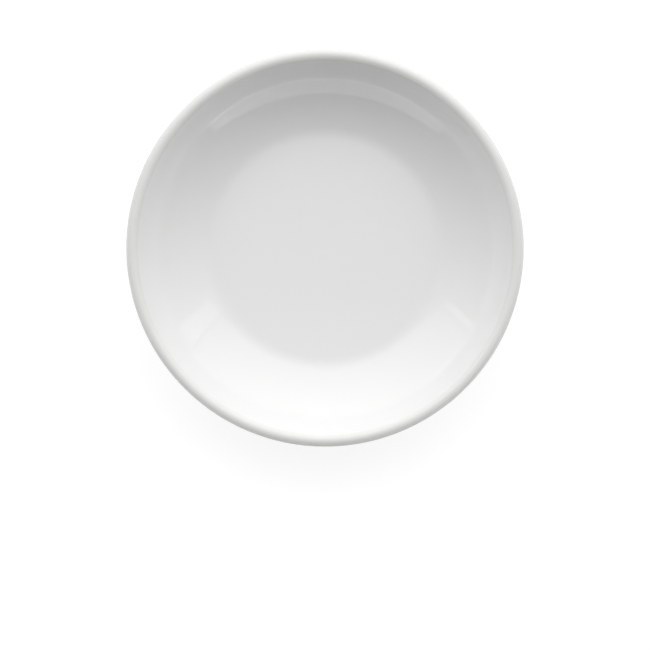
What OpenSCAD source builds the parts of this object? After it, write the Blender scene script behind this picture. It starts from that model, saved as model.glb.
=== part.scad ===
// Footed soy sauce dish of white glazed porcelain. The bowl, its round lip and the foot ring are one
// piece of clay, and a clear glaze covers all of it but the band that the dish stands on.
// Lengths are in millimetres. The dish stands on the plane z = 0 and z is its axis.
// The sizes are those of the finished dish, glaze included.

/* [Dish] */
// Outside diameter of the lip
rim_d = 95; // [86:0.5:108]
// Height from the table to the top of the lip
dish_h = 20.5; // [18:0.25:26]
// Diameter of the well, out to the corner where the lines of floor and shoulder meet
well_d = 56.5; // [46:0.5:60]

/* [Wall] */
// Thickness of the wall and of its round lip
wall_t = 2.8; // [2:0.1:3.6]
// Thickness of the floor
floor_t = 3.3; // [2.4:0.1:4]
// Slope of the wall where it meets the lip, in degrees from level
lip_slope = 66; // [58:0.5:72]
// How straight the wall is between well and lip: at 0 it would be one arc, at 1 one straight cone
straight_share = 0.54; // [0.35:0.01:0.7]
// Radius of the bend between the floor and the shoulder, inside
well_bend_r = 8; // [3:0.5:12]

/* [Foot] */
// Outside diameter of the foot ring at the table
foot_d = 57.6; // [50:0.2:62]
// Width of the foot ring at the table
foot_w = 3.6; // [3:0.1:6]
// Depth of the hollow inside the foot ring
recess_depth = 3; // [2:0.1:4]
// Lean of the foot ring's outside, in degrees from upright
foot_lean = 24; // [12:1:30]
// Lean of the foot ring's inside, in degrees from upright
recess_lean = 20; // [10:1:30]
// Radius of the cove between the foot ring and the shoulder
cove_r = 6.5; // [3:0.5:7.5]
// Radius of the bend between the foot ring and the underside
recess_bend_r = 2.2; // [1:0.1:3]
// Radius of the two edges of the foot ring
foot_edge_r = 0.9; // [0.5:0.1:1.2]

/* [Glaze] */
// Thickness of the glaze
glaze_t = 0.25; // [0.15:0.05:0.4]
// Height of the bare band that the dish stands on
bare_h = 0.8; // [0.5:0.1:1.2]

/* [Hidden] */
$fn = 180;

// Every tangent point and radius of the section is a multiple of this length
grid = 0.001;
// Tangent points closer than this are one point
same_point = 0.003;

lip_r = wall_t / 2;
floor_z = recess_depth + floor_t;

// Directions in the section, where x is the radius and y the height
function heading(slope) = [cos(slope), sin(slope)];
function right_of(v) = [v.y, -v.x];
function unit(v) = v / norm(v);
function cross_of(u, v) = u.x * v.y - u.y * v.x;
function snapped(length) = round(length / grid) * grid;
function snap(p) = [snapped(p.x), snapped(p.y)];

// Where the line through p along u meets the line through q along v
function meet(p, u, q, v) = p + u * cross_of(q - p, v) / cross_of(u, v);

level = heading(0);
along_lip = heading(lip_slope);

// The lip is a half round between the wall's two faces
lip_centre = [rim_d / 2 - lip_r, dish_h - lip_r];
lip_outside = lip_centre + lip_r * right_of(along_lip);
lip_inside = lip_centre - lip_r * right_of(along_lip);

// The shoulder leaves the well between the slope of one arc from well to lip and that of a straight line
well_corner = [well_d / 2, floor_z];
well_to_lip = lip_inside - well_corner;
line_slope = atan2(well_to_lip.y, well_to_lip.x);
arc_slope = 2 * line_slope - lip_slope;
shoulder_slope = arc_slope + straight_share * (line_slope - arc_slope);
along_shoulder = heading(shoulder_slope);

// Inside, one bend takes the wall from the shoulder's slope to the lip's and ends at the lip.
// Outside, the bend has the same centre, so the wall keeps its thickness.
bend_corner = meet(well_corner, along_shoulder, lip_inside, along_lip);
bend_turn = lip_slope - shoulder_slope;
bend_in_r = norm(lip_inside - bend_corner) / tan(bend_turn / 2);
bend_out_r = bend_in_r + wall_t;

foot_r = foot_d / 2;
recess_r = foot_r - foot_w;
along_flank = heading(90 - foot_lean);
along_recess = heading(90 + recess_lean);
shoulder_outside = well_corner + wall_t * right_of(along_shoulder);

// The section's corners before rounding, anticlockwise from the axis under the floor
corners = [
    [0, recess_depth],
    meet([0, recess_depth], level, [recess_r, 0], along_recess),
    [recess_r, 0],
    [foot_r, 0],
    meet([foot_r, 0], along_flank, shoulder_outside, along_shoulder),
    meet(shoulder_outside, along_shoulder, lip_outside, along_lip),
    lip_outside + lip_r * along_lip,
    lip_inside + lip_r * along_lip,
    bend_corner,
    well_corner,
    [0, floor_z]
];
corner_radii = [
    0, recess_bend_r, foot_edge_r, foot_edge_r, cove_r, bend_out_r,
    lip_r, lip_r, bend_in_r, well_bend_r, 0
];

// The glaze lies on every side of the section but the standing face and the axis
STANDING_SIDE = 2;
AXIS_SIDE = len(corners) - 1;
function is_glazed(side) = side != STANDING_SIDE && side != AXIS_SIDE;

function after(i) = (i + 1) % len(corners);
function before(i) = (i + len(corners) - 1) % len(corners);
function side_heading(i) = unit(corners[after(i)] - corners[i]);

// How far the section turns at a corner: positive where it is convex, negative where it is hollow
function turn_at(i) = let (u = side_heading(before(i)), v = side_heading(i)) atan2(cross_of(u, v), u * v);

// A corner of the section with its glazed sides taken in by a depth
function inset_corner(i, depth) =
    let (
        j = before(i),
        u = side_heading(j),
        v = side_heading(i),
        p = corners[i] - right_of(u) * (is_glazed(j) ? depth : 0),
        q = corners[i] - right_of(v) * (is_glazed(i) ? depth : 0)
    ) meet(p, u, q, v);

// Radius of a corner at that depth: a convex one shrinks, a hollow one grows
function inset_radius(i, depth) =
    corner_radii[i] == 0 ? 0 : snapped(corner_radii[i] - sign(turn_at(i)) * depth);

// Where the rounding of a corner starts and ends. Where it follows straight on from the round of the
// corner before, as the lip does from the bend, it starts at that one's end.
function tangent_length(i, depth) = inset_radius(i, depth) * tan(abs(turn_at(i)) / 2);
function round_end(i, depth) =
    snap(inset_corner(i, depth) + side_heading(i) * tangent_length(i, depth));
function round_start(i, depth) =
    let (
        start = snap(inset_corner(i, depth) - side_heading(before(i)) * tangent_length(i, depth)),
        last_end = round_end(before(i), depth)
    ) norm(start - last_end) < same_point ? last_end : start;

// Half of the dish's section, with its glazed faces taken in by a depth. Straight chords are drawn
// first, and the round of each corner is then added, or cut where the corner is hollow.
module dish_section(depth = 0) {
    places = [for (i = [0 : len(corners) - 1]) i];
    difference() {
        union() {
            polygon([
                for (i = places)
                    each corner_radii[i] == 0
                        ? [snap(inset_corner(i, depth))]
                        : [round_start(i, depth), round_end(i, depth)]
            ]);
            for (i = places) if (corner_radii[i] > 0 && turn_at(i) > 0) corner_round(i, depth);
        }
        for (i = places) if (corner_radii[i] > 0 && turn_at(i) < 0) corner_round(i, depth);
    }
}

// The part of a corner's circle that lies beyond its chord
module corner_round(i, depth) {
    start = round_start(i, depth);
    end = round_end(i, depth);
    radius = inset_radius(i, depth);
    chord = end - start;
    outward = sign(turn_at(i)) * right_of(unit(chord));
    centre = (start + end) / 2 - outward * sqrt(radius * radius - chord * chord / 4);
    intersection() {
        // Moved to the nearest grid point and then by the rest, so that the circle runs through both ends
        translate(snap(centre)) translate(centre - snap(centre)) circle(radius);
        polygon([start, end, end + outward * radius, start + outward * radius]);
    }
}

// Half of the section of all the glaze: the skin of the dish above its bare band
module glaze_section() {
    difference() {
        dish_section();
        dish_section(glaze_t);
        square([2 * rim_d, 2 * bare_h], center = true);
    }
}

// Half of the space under the floor, out to the middle of the foot ring
module underside_zone() {
    square([foot_r - foot_w / 2, recess_depth + floor_t / 2]);
}

// The fired clay: bowl, lip, floor and foot ring
module porcelain_body() {
    color("whitesmoke") rotate_extrude() dish_section(glaze_t);
}

// Glaze over the inside, the lip, the outside and the foot ring's outer flank
module glaze_coat() {
    color("white") rotate_extrude() difference() {
        glaze_section();
        underside_zone();
    }
}

// Glaze in the hollow inside the foot ring
module underside_glaze() {
    color("white") rotate_extrude() intersection() {
        glaze_section();
        underside_zone();
    }
}

porcelain_body();
glaze_coat();
underside_glaze();
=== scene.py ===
import bpy
import numpy as np
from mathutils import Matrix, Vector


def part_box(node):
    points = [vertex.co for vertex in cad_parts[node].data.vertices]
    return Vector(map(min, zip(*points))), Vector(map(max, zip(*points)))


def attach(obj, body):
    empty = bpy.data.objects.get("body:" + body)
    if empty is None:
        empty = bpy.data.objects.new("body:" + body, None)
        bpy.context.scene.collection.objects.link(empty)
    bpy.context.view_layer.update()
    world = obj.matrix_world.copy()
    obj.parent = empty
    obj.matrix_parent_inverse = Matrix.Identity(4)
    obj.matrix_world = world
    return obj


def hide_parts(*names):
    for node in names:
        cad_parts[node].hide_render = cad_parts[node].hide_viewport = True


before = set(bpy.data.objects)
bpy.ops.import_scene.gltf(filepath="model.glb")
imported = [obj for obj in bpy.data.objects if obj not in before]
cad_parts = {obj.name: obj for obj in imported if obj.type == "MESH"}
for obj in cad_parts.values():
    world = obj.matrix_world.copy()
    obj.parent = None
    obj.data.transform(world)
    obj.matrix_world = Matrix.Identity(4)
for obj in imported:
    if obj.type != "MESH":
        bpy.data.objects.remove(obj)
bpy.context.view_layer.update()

# Porcelain body: bowl, lip, floor and foot ring, pressed from one blank of clay and fired hard.
# The glaze hides all of it but the ring that the dish stands on, which was wiped clean before the
# firing and rubbed smooth after it.
mm = 0.001
coat_low, coat_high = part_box("glaze_coat")
rim_r = (coat_high.x - coat_low.x) / 2
dish_h = coat_high.z
wall_t = 2.8 * mm
well_r = 28.25 * mm
floor_z = 6.3 * mm
lip_slope = np.radians(66)
straight_share = 0.54
well_bend_r = 8 * mm
foot_r = 28.8 * mm
foot_w = 3.6 * mm
recess_depth = 3 * mm
foot_lean = np.radians(24)
recess_lean = np.radians(20)
cove_r = 6.5 * mm
recess_bend_r = 2.2 * mm
foot_edge_r = 0.9 * mm
glaze_t = 0.25 * mm
same_point = 0.003 * mm
columns = 320
arc_step = np.radians(6)
body_step = 2 * mm


def heading(slope):
    """Unit vector in the section, at an angle above the level."""
    return np.array([np.cos(slope), np.sin(slope)])


def right_of(direction):
    """The direction a quarter turn clockwise, which points out of the clay along the section."""
    return np.stack([direction[..., 1], -direction[..., 0]], axis=-1)


def meet(p, u, q, v):
    """Where the line through p along u meets the line through q along v."""
    return p + u * np.dot(q - p, right_of(v)) / np.dot(u, right_of(v))


def sides_of(corners):
    """Unit vectors from each corner of the section to the next."""
    steps = np.diff(corners, axis=0)
    return steps / np.linalg.norm(steps, axis=1, keepdims=True)


def turns_of(corners):
    """Angle by which the section turns at each corner: positive where the clay bulges, 0 at the ends."""
    before, after = sides_of(corners)[:-1], sides_of(corners)[1:]
    across = -np.sum(right_of(before) * after, axis=1)
    return np.concatenate([[0], np.arctan2(across, np.sum(before * after, axis=1)), [0]])


def taken_in(corners, depths):
    """The corners after each side has moved into the clay by its own depth."""
    along = sides_of(corners)
    low = corners[:-1] - right_of(along) * depths[:, None]
    inner = [meet(low[i - 1], along[i - 1], low[i], along[i]) for i in range(1, len(along))]
    last = corners[-1] - right_of(along[-1]) * depths[-1]
    return np.array([low[0], *inner, last])


def rounded_line(corners, radii, line_step):
    """The section with each corner turned into an arc that touches both of its sides.

    An arc starts and ends at radius * tan(turn / 2) from its corner, and its points are the centre
    plus the radius times the outward normal as the heading sweeps through the turn. Straight
    stretches between arcs are divided evenly. Gives points, outward normals and curvature.
    """
    along, turns = sides_of(corners), turns_of(corners)
    reach = radii * np.tan(np.abs(turns) / 2)
    points, normals, bends = [], [], []
    for i, direction in enumerate(along):
        start = corners[i] + direction * reach[i]
        end = corners[i + 1] - direction * reach[i + 1]
        length = np.linalg.norm(end - start)
        stations = int(np.ceil(length / line_step)) + 1 if length > same_point else 1
        share = np.linspace(0, 1, stations)[:, None]
        points.append(start + (end - start) * share)
        normals.append(np.repeat(right_of(direction)[None], stations, axis=0))
        bends.append(np.zeros(stations))
        radius, turn = radii[i + 1], turns[i + 1]
        if radius > 0:
            pieces = max(abs(turn) / arc_step, abs(turn) * radius / line_step)
            swing = np.linspace(0, turn, int(np.ceil(pieces)) + 1)[1:-1]
            side = np.sign(turn) * radius
            centre = end - side * right_of(direction)
            facing = np.arctan2(direction[1], direction[0]) + swing
            outward = right_of(np.stack([np.cos(facing), np.sin(facing)], axis=1))
            points.append(centre + side * outward)
            normals.append(outward)
            bends.append(np.full(len(swing), 1 / side))
    return np.concatenate(points), np.concatenate(normals), np.concatenate(bends)


def revolved(name, radius, height):
    """Closed surface of revolution from two grids with a row for each station of the section.

    A point is (radius cos a, radius sin a, height), and each column has its own angle a. The first
    and last rows lie on the axis and become one point each.
    """
    rows = radius.shape[0] - 2
    angle = 2 * np.pi * np.arange(columns) / columns
    rings = np.stack([radius * np.cos(angle), radius * np.sin(angle), height], axis=-1)
    poles = np.stack([np.zeros(2), np.zeros(2), height[[0, -1], 0]], axis=-1)
    places = np.concatenate([poles[:1], rings[1:-1].reshape(-1, 3), poles[1:]])
    here = 1 + np.arange(rows * columns).reshape(rows, columns)
    beside = np.roll(here, -1, axis=1)
    first, last = np.zeros(columns, int), np.full(columns, len(places) - 1)
    fan = np.stack([first, beside[0], here[0]], axis=-1)
    quads = np.stack([here[:-1], beside[:-1], beside[1:], here[1:]], axis=-1).reshape(-1, 4)
    cap = np.stack([here[-1], beside[-1], last], axis=-1)
    sizes = np.concatenate([np.full(len(fan), 3), np.full(len(quads), 4), np.full(len(cap), 3)])
    loops = np.concatenate([fan.ravel(), quads.ravel(), cap.ravel()])
    mesh = bpy.data.meshes.new(name)
    mesh.vertices.add(len(places))
    mesh.vertices.foreach_set("co", places.ravel())
    mesh.loops.add(len(loops))
    mesh.loops.foreach_set("vertex_index", loops)
    mesh.polygons.add(len(sizes))
    mesh.polygons.foreach_set("loop_start", np.cumsum(sizes) - sizes)
    mesh.polygons.foreach_set("use_smooth", np.ones(len(sizes), bool))
    mesh.update(calc_edges=True)
    piece = bpy.data.objects.new(name, mesh)
    bpy.context.scene.collection.objects.link(piece)
    return piece


def add_node(material, kind, settings, inputs):
    """Adds a shader node, sets its properties, and gives its sockets their values or links."""
    made = material.node_tree.nodes.new(kind)
    for key, value in settings.items():
        setattr(made, key, value)
    for key, value in inputs.items():
        if isinstance(value, bpy.types.NodeSocket):
            material.node_tree.links.new(value, made.inputs[key])
        else:
            made.inputs[key].default_value = value
    return made


def colour(code):
    """Linear RGBA of an sRGB hex colour, by the standard curve: a straight foot, then a power of 2.4."""
    parts = np.array([int(code[i:i + 2], 16) for i in (1, 3, 5)]) / 255
    linear = np.where(parts <= 0.04045, parts / 12.92, ((parts + 0.055) / 1.055) ** 2.4)
    return (*linear.tolist(), 1.0)


level = heading(0.0)
along_lip = heading(lip_slope)
lip_r = wall_t / 2
lip_centre = np.array([rim_r - lip_r, dish_h - lip_r])
lip_outside = lip_centre + lip_r * right_of(along_lip)
lip_inside = lip_centre - lip_r * right_of(along_lip)
well_corner = np.array([well_r, floor_z])
line_slope = np.arctan2(*(lip_inside - well_corner)[::-1])
arc_slope = 2 * line_slope - lip_slope
shoulder_slope = arc_slope + straight_share * (line_slope - arc_slope)
along_shoulder = heading(shoulder_slope)
shoulder_outside = well_corner + wall_t * right_of(along_shoulder)
bend_corner = meet(well_corner, along_shoulder, lip_inside, along_lip)
bend_r = np.linalg.norm(lip_inside - bend_corner) / np.tan((lip_slope - shoulder_slope) / 2)

# Inside, the wall has no straight stretch: it leaves the well at a low slope and bends up in two arcs, a
# gentle one and then a tighter one. They stay within about 0.2 mm of the solid part.
leave_slope = np.radians(20)
middle_slope = np.radians(42.5)
middle_r = 40.5 * mm
upper_r = (lip_inside[0] - middle_r) / (np.sin(lip_slope) - np.sin(middle_slope))
middle_z = lip_inside[1] - upper_r * (np.cos(middle_slope) - np.cos(lip_slope))
bend_end_z = floor_z + well_bend_r * (1 - np.cos(leave_slope))
lower_r = (middle_z - bend_end_z) / (np.cos(leave_slope) - np.cos(middle_slope))
along_leave = heading(leave_slope)
upper_corner = lip_inside - along_lip * upper_r * np.tan((lip_slope - middle_slope) / 2)
lower_reach = lower_r * np.tan((middle_slope - leave_slope) / 2)
lower_corner = np.array([middle_r, middle_z]) - heading(middle_slope) * lower_reach
well_bend_corner = meet(lower_corner, along_leave, np.array([0, floor_z]), level)
recess_axis = np.array([0, recess_depth])
ring_inside = np.array([foot_r - foot_w, 0])
ring_outside = np.array([foot_r, 0])
finished_corners = np.array([
    recess_axis,
    meet(recess_axis, level, ring_inside, heading(np.pi / 2 + recess_lean)),
    ring_inside,
    ring_outside,
    meet(ring_outside, heading(np.pi / 2 - foot_lean), shoulder_outside, along_shoulder),
    meet(shoulder_outside, along_shoulder, lip_outside, along_lip),
    lip_outside + lip_r * along_lip,
    lip_inside + lip_r * along_lip,
    upper_corner,
    lower_corner,
    well_bend_corner,
    [0, floor_z],
])
finished_radii = np.array([
    0, recess_bend_r, foot_edge_r, foot_edge_r, cove_r, bend_r + wall_t,
    lip_r, lip_r, upper_r, lower_r, well_bend_r, 0,
])
standing_side = 2
glazed_depths = np.full(len(finished_corners) - 1, glaze_t)
glazed_depths[standing_side] = 0
clay_corners = taken_in(finished_corners, glazed_depths)
clay_radii = np.where(finished_radii > 0, finished_radii - np.sign(turns_of(finished_corners)) * glaze_t, 0)
body_points, _, _ = rounded_line(clay_corners, clay_radii, body_step)
body = revolved(
    "porcelain_ring",
    np.repeat(body_points[:, :1], columns, axis=1),
    np.repeat(body_points[:, 1:], columns, axis=1),
)

# Unglazed hard porcelain, rubbed on a stone: a warm matt white with a fine grain and, round the ring,
# the marks of the rubbing. Both are drawn about twice as coarse as they are, so that they show.
grain_mm = 0.5
mark_mm = 0.6
mark_run_mm = 15
relief_mm = 0.01
mark_low = 0.35
mark_high = 0.65
rubbed_roughness = 0.55
fired_roughness = 0.8
porcelain_ior = 1.5
bisque = bpy.data.materials.new("unglazed porcelain rubbed smooth")
bisque.use_nodes = True
bisque.node_tree.nodes.clear()
place = add_node(bisque, "ShaderNodeTexCoord", {}, {})
in_mm = add_node(bisque, "ShaderNodeVectorMath", {"operation": "SCALE"}, {
    0: place.outputs["Object"], "Scale": 1 / mm})
grain = add_node(bisque, "ShaderNodeTexNoise", {}, {
    "Vector": in_mm.outputs[0], "Scale": 1 / grain_mm, "Detail": 2.0})
from_axis = add_node(bisque, "ShaderNodeVectorMath", {"operation": "LENGTH"}, {0: in_mm.outputs[0]})
across = add_node(bisque, "ShaderNodeMath", {"operation": "MULTIPLY"}, {
    0: from_axis.outputs["Value"], 1: mark_run_mm / mark_mm})
marks = add_node(bisque, "ShaderNodeTexNoise", {"noise_dimensions": "4D"}, {
    "Vector": in_mm.outputs[0], "W": across.outputs["Value"], "Scale": 1 / mark_run_mm, "Detail": 1.0})
tone = add_node(bisque, "ShaderNodeMix", {"data_type": "RGBA"}, {
    "Factor": grain.outputs["Fac"], 6: colour("#DCD5C8"), 7: colour("#F2EFE8")})
relief = add_node(bisque, "ShaderNodeMath", {"operation": "ADD"}, {
    0: grain.outputs["Fac"], 1: marks.outputs["Fac"]})
bump = add_node(bisque, "ShaderNodeBump", {}, {
    "Height": relief.outputs["Value"], "Strength": 1.0, "Distance": relief_mm * mm})
worn = add_node(bisque, "ShaderNodeMapRange", {}, {
    "Value": marks.outputs["Fac"], "From Min": mark_low, "From Max": mark_high,
    "To Min": rubbed_roughness, "To Max": fired_roughness})
matt = add_node(bisque, "ShaderNodeBsdfPrincipled", {}, {
    "Base Color": tone.outputs[2], "Roughness": worn.outputs["Result"], "IOR": porcelain_ior,
    "Normal": bump.outputs["Normal"]})
add_node(bisque, "ShaderNodeOutputMaterial", {}, {"Surface": matt.outputs["BSDF"]})
body.data.materials.append(bisque)
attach(body, "root")
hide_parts("porcelain_body")

# Glaze coat: the clear glaze that the dish was dipped in, fired to a glass over the inside, the lip and
# the outside. It runs off the lip, gathers in the hollows and ends in a small bead above the bare ring.
bare_h = 0.8 * mm
edge_run = 0.3 * mm
bead_t = 0.05 * mm
bead_at = 0.7 * mm
bead_w = 0.5 * mm
fused_depth = 0.05 * mm
gather_share = 0.12
gather_bend = 0.3 / mm
gather_reach = 1.5 * mm
edge_rows = 14
fused_row_step = 3
glaze_step = 1 * mm
ripple = 0.09 * mm
coat_lobes = (2, 3, 5, 9)


def glaze_edge(lobes):
    """Height of the glaze's edge round the foot ring: the bare band plus slow waves, each half the last."""
    angle = 2 * np.pi * np.arange(columns) / columns
    waves = [np.sin(n * angle + n * n) / 2**k for k, n in enumerate(lobes)]
    return bare_h + ripple * np.sum(waves, axis=0)


def glaze_skin(points, normals, bends, edge_height):
    """Finished surface, fused surface and depth of the glaze, as grids from its edge to the axis.

    The section starts on a straight flank of the foot ring. The glaze is as deep as its nominal
    depth, less on a bulge and more in a hollow by the tanh of the curvature. From its edge it rises
    as a quarter ellipse and swells into a bell-shaped bead. Its other side is fused into the clay.
    """
    flank_end = np.flatnonzero(bends)[0] - 1
    flank = (points[flank_end] - points[0]) / np.linalg.norm(points[flank_end] - points[0])
    length = (points[flank_end, 1] - edge_height) / flank[1]
    run = np.linspace(0, 1, edge_rows)[:-1, None] ** 2 * length
    above = np.linalg.norm(np.diff(points[flank_end:], axis=0), axis=1)
    reach = np.concatenate([[0], np.cumsum(above)])
    away = np.concatenate([run, reach[:, None] + length])
    clay = np.concatenate([
        points[flank_end] + (run - length)[..., None] * flank,
        np.repeat(points[flank_end:, None], columns, axis=1),
    ])
    outward = np.concatenate([np.repeat(normals[:1], edge_rows - 1, axis=0), normals[flank_end:]])[:, None]
    station = away.mean(axis=1)
    near = np.exp(-(((station[:, None] - station) / gather_reach) ** 2)) * np.gradient(station)
    bend = near @ np.concatenate([np.zeros(edge_rows - 1), bends[flank_end:]]) / near.sum(axis=1)
    rise = np.sqrt(1 - (1 - np.minimum(away / edge_run, 1)) ** 2)
    bead = bead_t * np.exp(-(((away - bead_at) / bead_w) ** 2))
    depth = rise * (glaze_t * (1 - gather_share * np.tanh(bend / gather_bend))[:, None] + bead)
    depth[0] = -fused_depth
    rows = np.append(np.arange(1, len(clay) - 1, fused_row_step), len(clay) - 1)
    return clay + outward * depth[..., None], (clay - outward * fused_depth)[rows], depth


def glazed_piece(name, surface, depth):
    """Revolves a glaze shell and stores its depth in millimetres on the points as glaze_depth."""
    piece = revolved(name, surface[..., 0], surface[..., 1])
    stored = piece.data.attributes.new("glaze_depth", "FLOAT", "POINT")
    stored.data.foreach_set("value", np.concatenate([depth[0, :1], depth[1:-1].ravel(), depth[-1, :1]]) / mm)
    return piece


outer_corner = 3
outside_radii = np.append(0, clay_radii[outer_corner + 1:])
outside_line = rounded_line(clay_corners[outer_corner:], outside_radii, glaze_step)
finished, fused, depth = glaze_skin(*outside_line, glaze_edge(coat_lobes))
coat = glazed_piece(
    "glaze_over_dish",
    np.concatenate([fused[::-1], finished]),
    np.concatenate([np.full(fused.shape[:2], glaze_t), depth]),
)

# Clear feldspar glaze fired over white porcelain: a hard glassy gloss with a faint swell in it, here and
# there a little softer. It has a trace of grey where it lies deep. Where it is thin it turns a duller grey
# white: over the lip this is painted shade that darkens the lip's flank, and at the glaze's edges above the
# bare ring it stands for thin glaze over the clay.
swell_mm = 3.5
swell_height_mm = 0.002
soft_mm = 14
soft_low = 0.3
soft_high = 0.7
glassy_roughness = 0.015
soft_roughness = 0.04
glaze_ior = 1.5
# Glaze depths over which the painted shade on the lip, and the thin-glaze tone at the edges, fade out.
shade_and_thin_full_mm = 0.22
shade_and_thin_gone_mm = 0.232
pale_mm = 0.21
grey_mm = 0.31
glaze = bpy.data.materials.new("clear feldspar glaze over white porcelain")
glaze.use_nodes = True
glaze.node_tree.nodes.clear()
place = add_node(glaze, "ShaderNodeTexCoord", {}, {})
in_mm = add_node(glaze, "ShaderNodeVectorMath", {"operation": "SCALE"}, {
    0: place.outputs["Object"], "Scale": 1 / mm})
stored_depth = add_node(glaze, "ShaderNodeAttribute", {"attribute_name": "glaze_depth"}, {})
deep = add_node(glaze, "ShaderNodeMapRange", {}, {
    "Value": stored_depth.outputs["Fac"], "From Min": pale_mm, "From Max": grey_mm})
white = add_node(glaze, "ShaderNodeMix", {"data_type": "RGBA"}, {
    "Factor": deep.outputs["Result"], 6: colour("#EEEEED"), 7: colour("#E9EAE9")})
# Painted shade: a duller grey white where the glaze is thin. It darkens the lip and, at the glaze's edges,
# stands for thin glaze over the clay.
clear_of_shade_and_thin = add_node(glaze, "ShaderNodeMapRange", {}, {
    "Value": stored_depth.outputs["Fac"], "From Min": shade_and_thin_full_mm, "From Max": shade_and_thin_gone_mm})
tone = add_node(glaze, "ShaderNodeMix", {"data_type": "RGBA"}, {
    "Factor": clear_of_shade_and_thin.outputs["Result"], 6: colour("#E3E3E1"), 7: white.outputs[2]})
swell = add_node(glaze, "ShaderNodeTexNoise", {}, {
    "Vector": in_mm.outputs[0], "Scale": 1 / swell_mm, "Detail": 1.0})
bump = add_node(glaze, "ShaderNodeBump", {}, {
    "Height": swell.outputs["Fac"], "Strength": 1.0, "Distance": swell_height_mm * mm})
softer = add_node(glaze, "ShaderNodeTexNoise", {}, {
    "Vector": in_mm.outputs[0], "Scale": 1 / soft_mm, "Detail": 2.0})
sheen = add_node(glaze, "ShaderNodeMapRange", {}, {
    "Value": softer.outputs["Fac"], "From Min": soft_low, "From Max": soft_high,
    "To Min": glassy_roughness, "To Max": soft_roughness})
gloss = add_node(glaze, "ShaderNodeBsdfPrincipled", {}, {
    "Base Color": tone.outputs[2], "Roughness": sheen.outputs["Result"], "IOR": glaze_ior,
    "Normal": bump.outputs["Normal"]})
add_node(glaze, "ShaderNodeOutputMaterial", {}, {"Surface": gloss.outputs["BSDF"]})
coat.data.materials.append(glaze)
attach(coat, "root")
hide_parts("glaze_coat")

# Underside glaze: the pool of the same glaze in the hollow inside the foot ring, with its own edge.
# Dipping leaves it apart from the coat, because the ring between them is wiped bare.
pool_lobes = (3, 4, 7, 11)
inner_corner = 2
inside_radii = np.append(clay_radii[:inner_corner], 0)
inside_line = rounded_line(clay_corners[:inner_corner + 1], inside_radii, glaze_step)
finished, fused, depth = glaze_skin(*(line[::-1] for line in inside_line), glaze_edge(pool_lobes))
underside = glazed_piece(
    "glaze_under_foot",
    np.concatenate([finished[::-1], fused]),
    np.concatenate([depth[::-1], np.full(fused.shape[:2], glaze_t)]),
)
underside.data.materials.append(glaze)
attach(underside, "root")
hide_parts("underside_glaze")

# Table: a sheet of opal acrylic on a light table. Its own glow lights the outside of the dish from below,
# and the lamp light that it scatters on top of that leaves a soft shadow. To the eye it is plain white.
table_half = 3.0
sheet_glow = 0.45
sheet_white = 0.8


def seen_directly(material):
    """Socket that is 1 for what is seen straight, in gloss or through glass, and 0 for scattered light."""
    path = add_node(material, "ShaderNodeLightPath", {}, {})
    mirrored = add_node(material, "ShaderNodeMath", {"operation": "MAXIMUM"}, {
        0: path.outputs["Is Glossy Ray"], 1: path.outputs["Is Transmission Ray"]})
    seen = add_node(material, "ShaderNodeMath", {"operation": "MAXIMUM"}, {
        0: path.outputs["Is Camera Ray"], 1: mirrored.outputs["Value"]})
    return seen.outputs["Value"]


table_mesh = bpy.data.meshes.new("table")
table_corners = np.array([[-1, -1, 0], [1, -1, 0], [1, 1, 0], [-1, 1, 0]]) * table_half
table_mesh.from_pydata(table_corners.tolist(), [], [[0, 1, 2, 3]])
table = bpy.data.objects.new("table", table_mesh)
bpy.context.scene.collection.objects.link(table)

# Opal acrylic lit from below: a plain white without gloss.
sheet = bpy.data.materials.new("opal acrylic lit from below")
sheet.use_nodes = True
sheet.node_tree.nodes.clear()
scatter = add_node(sheet, "ShaderNodeBsdfDiffuse", {}, {"Color": colour("#959595")})
glow = add_node(sheet, "ShaderNodeMix", {"data_type": "FLOAT"}, {
    0: seen_directly(sheet), 2: sheet_glow, 3: sheet_white})
lit = add_node(sheet, "ShaderNodeEmission", {}, {"Strength": glow.outputs[0]})
opal = add_node(sheet, "ShaderNodeAddShader", {}, {0: scatter.outputs["BSDF"], 1: lit.outputs["Emission"]})
add_node(sheet, "ShaderNodeOutputMaterial", {}, {"Surface": opal.outputs["Shader"]})
table_mesh.materials.append(sheet)

# Screen: a low band of white paper that stands round the edge of the table and closes the view where
# the eye is level with the dish.
screen_h = 0.4
screen_glow = 0.6
screen_white = 1.0
screen_sides = 96
round_table = 2 * np.pi * np.arange(screen_sides) / screen_sides
screen_foot = np.stack([np.cos(round_table), np.sin(round_table), 0 * round_table], axis=1) * table_half
screen_places = np.concatenate([screen_foot, screen_foot + [0, 0, screen_h]])
screen_here = np.arange(screen_sides)
screen_next = np.roll(screen_here, -1)
screen_faces = np.stack([
    screen_next, screen_here, screen_here + screen_sides, screen_next + screen_sides], axis=1)
screen_mesh = bpy.data.meshes.new("screen")
screen_mesh.from_pydata(screen_places.tolist(), [], screen_faces.tolist())
screen = bpy.data.objects.new("screen", screen_mesh)
bpy.context.scene.collection.objects.link(screen)

# White paper in even light: plain white to the eye, and dim enough to leave the dish's own light alone.
paper = bpy.data.materials.new("white paper in even light")
paper.use_nodes = True
paper.node_tree.nodes.clear()
glow = add_node(paper, "ShaderNodeMix", {"data_type": "FLOAT"}, {
    0: seen_directly(paper), 2: screen_glow, 3: screen_white})
lit = add_node(paper, "ShaderNodeEmission", {}, {"Strength": glow.outputs[0]})
add_node(paper, "ShaderNodeOutputMaterial", {}, {"Surface": lit.outputs["Emission"]})
screen_mesh.materials.append(paper)

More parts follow.
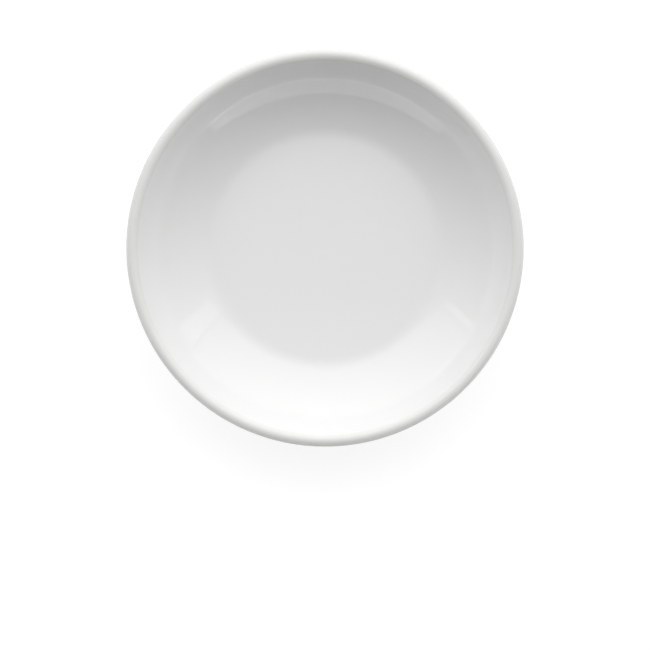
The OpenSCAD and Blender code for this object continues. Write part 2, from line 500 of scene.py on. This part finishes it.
# Light tent: white cloth all round, lit from above, from high up behind the dish and from both sides, a
# little more from the right. Its front lies in the shade. In the gloss it shows as an even dim white, so
# that the lamps and the dish itself stand out there.
tent_shade = 0.8
tent_top = 1.14
tent_back = 5.85
tent_sides = 1.41
tent_right = 0.11
tent_in_gloss = 0.2
tent = bpy.data.worlds.new("light tent")
bpy.context.scene.world = tent
tent.use_nodes = True
tent.node_tree.nodes.clear()
place = add_node(tent, "ShaderNodeTexCoord", {}, {})
towards = add_node(tent, "ShaderNodeSeparateXYZ", {}, {0: place.outputs["Generated"]})
high_up = add_node(tent, "ShaderNodeMath", {"operation": "MULTIPLY"}, {
    0: towards.outputs["Z"], 1: towards.outputs["Z"]})
back_and_up = add_node(tent, "ShaderNodeMath", {"operation": "MULTIPLY"}, {
    0: towards.outputs["Y"], 1: high_up.outputs["Value"]})
aside = add_node(tent, "ShaderNodeMath", {"operation": "MULTIPLY"}, {
    0: towards.outputs["X"], 1: towards.outputs["X"]})
from_top = add_node(tent, "ShaderNodeMath", {"operation": "MULTIPLY_ADD"}, {
    0: towards.outputs["Z"], 1: tent_top, 2: -tent_shade})
from_sides = add_node(tent, "ShaderNodeMath", {"operation": "MULTIPLY_ADD"}, {
    0: aside.outputs["Value"], 1: tent_sides, 2: from_top.outputs["Value"]})
from_right = add_node(tent, "ShaderNodeMath", {"operation": "MULTIPLY_ADD"}, {
    0: towards.outputs["X"], 1: tent_right, 2: from_sides.outputs["Value"]})
from_back = add_node(tent, "ShaderNodeMath", {"operation": "MULTIPLY_ADD"}, {
    0: back_and_up.outputs["Value"], 1: tent_back, 2: from_right.outputs["Value"]})
cloth_glow = add_node(tent, "ShaderNodeMath", {"operation": "MAXIMUM"}, {
    0: from_back.outputs["Value"], 1: 0.0})
strength = add_node(tent, "ShaderNodeMix", {"data_type": "FLOAT"}, {
    0: seen_directly(tent), 2: cloth_glow.outputs["Value"], 3: tent_in_gloss})
cloth = add_node(tent, "ShaderNodeBackground", {}, {
    "Color": colour("#FFFFFF"), "Strength": strength.outputs[0]})
add_node(tent, "ShaderNodeOutputWorld", {}, {"Surface": cloth.outputs["Background"]})

# Lamp panels: a wall of three soft panels behind the dish, leaning over it a little, and a low white card
# in front. Narrow gaps between the panels show as fine lines in the gloss of the near wall.
panel_distance = 1.0
wall_lean = np.radians(6)
panel_glow = 0.7
strip_glow = 1.0
card_glow = 1.2


def panel(name, side, lean, left, right, low, high, glow):
    """Flat lamp that faces the dish from the back (side 1) or the front (side -1).

    It stands on a line one panel distance from the axis and leans towards the dish. Its power is
    pi times its glow and area, so that it shines as bright as a white sheet of that glow.
    """
    lamp = bpy.data.lights.new(name, "AREA")
    lamp.shape = "RECTANGLE"
    lamp.size, lamp.size_y = right - left, high - low
    lamp.energy = np.pi * glow * lamp.size * lamp.size_y
    stand = bpy.data.objects.new(name, lamp)
    middle = (low + high) / 2
    stand.location = (
        (left + right) / 2,
        side * (panel_distance - middle * np.sin(lean)),
        middle * np.cos(lean),
    )
    stand.rotation_euler = (side * (lean - np.pi / 2), 0, 0)
    stand.visible_camera = False
    bpy.context.scene.collection.objects.link(stand)


panel("back_panel", side=1, lean=wall_lean, left=-1.58, right=1.235, low=0.15, high=1.65, glow=panel_glow)
panel("right_strip", side=1, lean=wall_lean, left=1.285, right=1.75, low=0.32, high=2.0, glow=strip_glow)
panel("left_strip", side=1, lean=wall_lean, left=-1.86, right=-1.63, low=0.3, high=1.75, glow=strip_glow)
panel("front_card", side=-1, lean=0, left=-1.0, right=0.95, low=0.02, high=0.418, glow=card_glow)

# Camera: straight above, with a long lens, framed as the photograph is.
photo_px = 650
rim_px = 397.8
dish_up_px = 77.1
camera_distance = 1.5
sensor = 36.0
pixel = 2 * rim_r / rim_px
camera_data = bpy.data.cameras.new("camera")
camera_data.sensor_width = sensor
camera_data.lens = sensor * camera_distance / (photo_px * pixel)
camera = bpy.data.objects.new("camera", camera_data)
camera.location = (0, -dish_up_px * pixel, dish_h - lip_r + camera_distance)
bpy.context.scene.collection.objects.link(camera)
bpy.context.scene.camera = camera
bpy.context.scene.view_settings.view_transform = "Standard"
